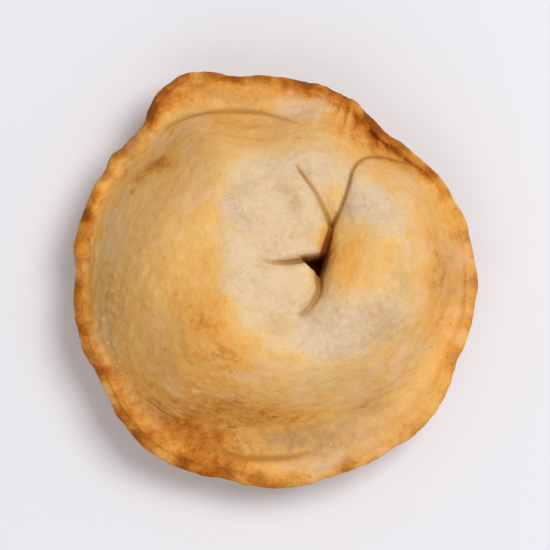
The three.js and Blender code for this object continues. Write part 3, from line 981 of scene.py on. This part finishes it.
FLOUR_SIZES = {
    "Clumps to the Square Metre": 1.2e7,
    "Least Clump": 0.000035,
    "Largest Clump": 0.000110,
    "Seed": 7.0,
}
FLOUR_PATCH_SIZE = 0.0016
BROWNED_PATCH_SIZE = 0.0008

# Length, width and height of a clump as shares of its size.
LEAST_CLUMP_SHAPE = (0.7, 0.7, 0.25)
LARGEST_CLUMP_SHAPE = (1.6, 1.6, 0.5)

LOOSE_FLOUR_COLOUR = (0.63, 0.48, 0.325, 1.0)
BROWNED_FLOUR_COLOUR = (0.63, 0.42, 0.22, 1.0)


def flour_tree():
    tree, given, result = new_tree("loose_flour", FLOUR_SIZES)
    patch_inputs = {"Scale": 1 / FLOUR_PATCH_SIZE, "Detail": 3.0, "W": given["Seed"]}
    patch = add_node(tree, "ShaderNodeTexNoise", patch_inputs, noise_dimensions="4D").outputs[0]
    floury = eased(tree, stored(tree, "flour"), 0.1, 1.0)
    dusting = sums(tree, "MULTIPLY", eased(tree, patch, 0.42, 0.62), floury)
    off_folds = eased(tree, stored(tree, "crease_shade"), 0.15, 0.03)
    dusting = sums(tree, "MULTIPLY", dusting, off_folds)
    density = sums(tree, "MULTIPLY", dusting, given["Clumps to the Square Metre"])
    spread_inputs = {"Mesh": given["Geometry"], "Density": density, "Seed": given["Seed"]}
    spread = add_node(tree, "GeometryNodeDistributePointsOnFaces", spread_inputs)
    size_inputs = {2: given["Least Clump"], 3: given["Largest Clump"], "Seed": given["Seed"]}
    size = add_node(tree, "FunctionNodeRandomValue", size_inputs, data_type="FLOAT").outputs[1]
    shape_inputs = {0: LEAST_CLUMP_SHAPE, 1: LARGEST_CLUMP_SHAPE, "Seed": given["Seed"]}
    shape = add_node(tree, "FunctionNodeRandomValue", shape_inputs, data_type="FLOAT_VECTOR")
    stretch = {0: shape.outputs[0], "Scale": size}
    uneven = add_node(tree, "ShaderNodeVectorMath", stretch, operation="SCALE")
    clump = add_node(tree, "GeometryNodeMeshIcoSphere", {"Radius": 1.0, "Subdivisions": 1})
    laid_inputs = {
        "Points": spread.outputs["Points"],
        "Instance": clump.outputs["Mesh"],
        "Rotation": spread.outputs["Rotation"],
        "Scale": uneven.outputs[0],
    }
    laid = add_node(tree, "GeometryNodeInstanceOnPoints", laid_inputs)
    plain = add_node(tree, "GeometryNodeRealizeInstances", {0: laid.outputs[0]})
    coated_inputs = {0: plain.outputs[0], "Material": given["Material"]}
    coated = add_node(tree, "GeometryNodeSetMaterial", coated_inputs)
    tree.links.new(coated.outputs[0], result[0])
    return tree


def flour_material():
    material = bpy.data.materials.new("loose_flour")
    material.use_nodes = True
    tree = material.node_tree
    shader = tree.nodes["Principled BSDF"]
    place = add_node(tree, "ShaderNodeTexCoord").outputs["Object"]
    noise_inputs = {"Vector": place, "Scale": 1 / BROWNED_PATCH_SIZE}
    noise = add_node(tree, "ShaderNodeTexNoise", noise_inputs).outputs["Fac"]
    tint = {0: eased(tree, noise, 0.35, 0.7), 6: LOOSE_FLOUR_COLOUR, 7: BROWNED_FLOUR_COLOUR}
    colour = add_node(tree, "ShaderNodeMix", tint, data_type="RGBA").outputs[2]
    tree.links.new(colour, shader.inputs["Base Color"])
    shader.inputs["Roughness"].default_value = 0.9
    shader.inputs["Specular IOR Level"].default_value = 0.1
    return material


flour = bpy.data.objects.new("loose_flour", dough.data)
scene.collection.objects.link(flour)
flour.data = grown(flour_tree(), flour, FLOUR_SIZES, flour_material())
flour.data.name = "loose_flour"

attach(flour, "root")


# ==== Floor, light and camera ===================================================================
# A plain pale floor, a large soft lamp at the upper right with a weaker one in front, and a camera
# almost straight above, as near as a table photograph is taken.

FLOOR_COLOUR = (0.74, 0.73, 0.77, 1.0)
FLOOR_ROUGHNESS = 0.7
FLOOR_SIZE = 3.0
CAMERA_ELEVATION = 84
CAMERA_DISTANCE = 0.30
CAMERA_AIM = (0, 0, 0.009)
VIEW_WIDTH = 0.0507
SKY_STRENGTH = 0.42

floor_mesh = bpy.data.meshes.new("floor")
half = FLOOR_SIZE / 2
corners = [(-half, -half, 0), (half, -half, 0), (half, half, 0), (-half, half, 0)]
floor_mesh.from_pydata(corners, [], [(0, 1, 2, 3)])
floor = bpy.data.objects.new("floor", floor_mesh)
scene.collection.objects.link(floor)
floor_paint = bpy.data.materials.new("pale_floor")
floor_paint.use_nodes = True
floor_shader = floor_paint.node_tree.nodes["Principled BSDF"]
floor_shader.inputs["Base Color"].default_value = FLOOR_COLOUR
floor_shader.inputs["Roughness"].default_value = FLOOR_ROUGHNESS
floor_mesh.materials.append(floor_paint)


def lamp(name, place, power, size):
    light = bpy.data.lights.new(name, "AREA")
    light.energy = power
    light.size = size
    holder = bpy.data.objects.new(name, light)
    holder.location = place
    holder.rotation_euler = (-Vector(place)).to_track_quat("-Z", "Y").to_euler()
    scene.collection.objects.link(holder)


lamp("key_lamp", (0.25, 0.15, 0.54), 2.6, 0.30)
lamp("fill_lamp", (-0.08, -0.42, 0.42), 0.9, 0.5)

sky = bpy.data.worlds.new("soft_room")
sky.use_nodes = True
sky_light = sky.node_tree.nodes["Background"]
sky_light.inputs["Color"].default_value = (1.0, 1.0, 1.0, 1.0)
sky_light.inputs["Strength"].default_value = SKY_STRENGTH
scene.world = sky

camera_data = bpy.data.cameras.new("camera")
camera_data.lens = camera_data.sensor_width * CAMERA_DISTANCE / VIEW_WIDTH
camera = bpy.data.objects.new("camera", camera_data)
scene.collection.objects.link(camera)
aim = Vector(CAMERA_AIM)
tilt = math.radians(CAMERA_ELEVATION)
back = Vector((0, -math.cos(tilt), math.sin(tilt)))
camera.location = aim + back * CAMERA_DISTANCE
camera.rotation_euler = (-back).to_track_quat("-Z", "Y").to_euler()
scene.camera = camera
